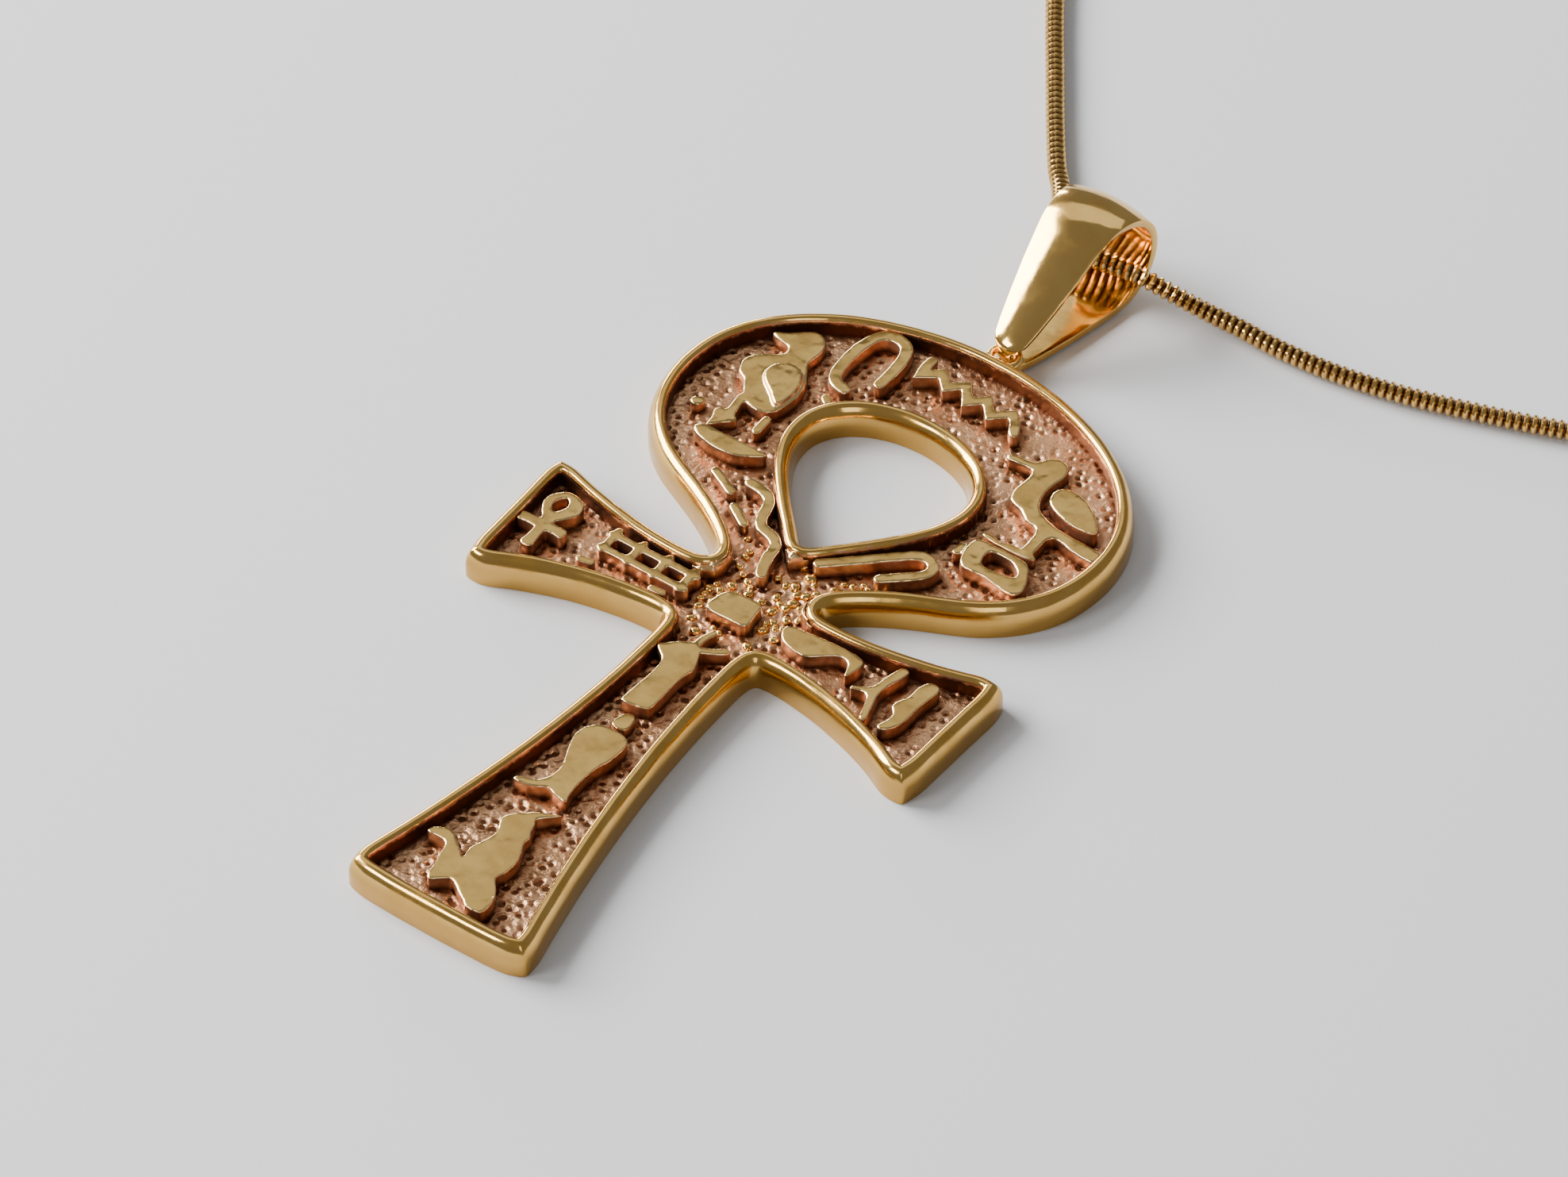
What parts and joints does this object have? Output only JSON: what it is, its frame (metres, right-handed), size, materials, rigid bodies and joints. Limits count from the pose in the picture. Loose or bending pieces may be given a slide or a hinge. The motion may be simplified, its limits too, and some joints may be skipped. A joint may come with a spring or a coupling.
{
  "type": "ankh pendant necklace",
  "caption": "Cast gold ankh pendant with raised signs inside a polished rim, hung by a folded bail on a fine snake chain.",
  "frame": {"origin": "on the flat back of the ankh, at the middle of its arms", "axes": "+X to the right of the ankh seen from its face, +Y up the ankh towards the bail, +Z out of its face"},
  "size_m": [0.127, 0.218, 0.0058],
  "materials": {
    "cast_gold": "cast relief with polished rims and figures",
    "polished_gold": "polished",
    "chain_gold": "polished links"
  },
  "bodies": {
    "root": {"ankh": "cast_gold", "bail": "polished_gold", "chain": "chain_gold", "clasp": "polished_gold"}
  },
  "joints": []
}
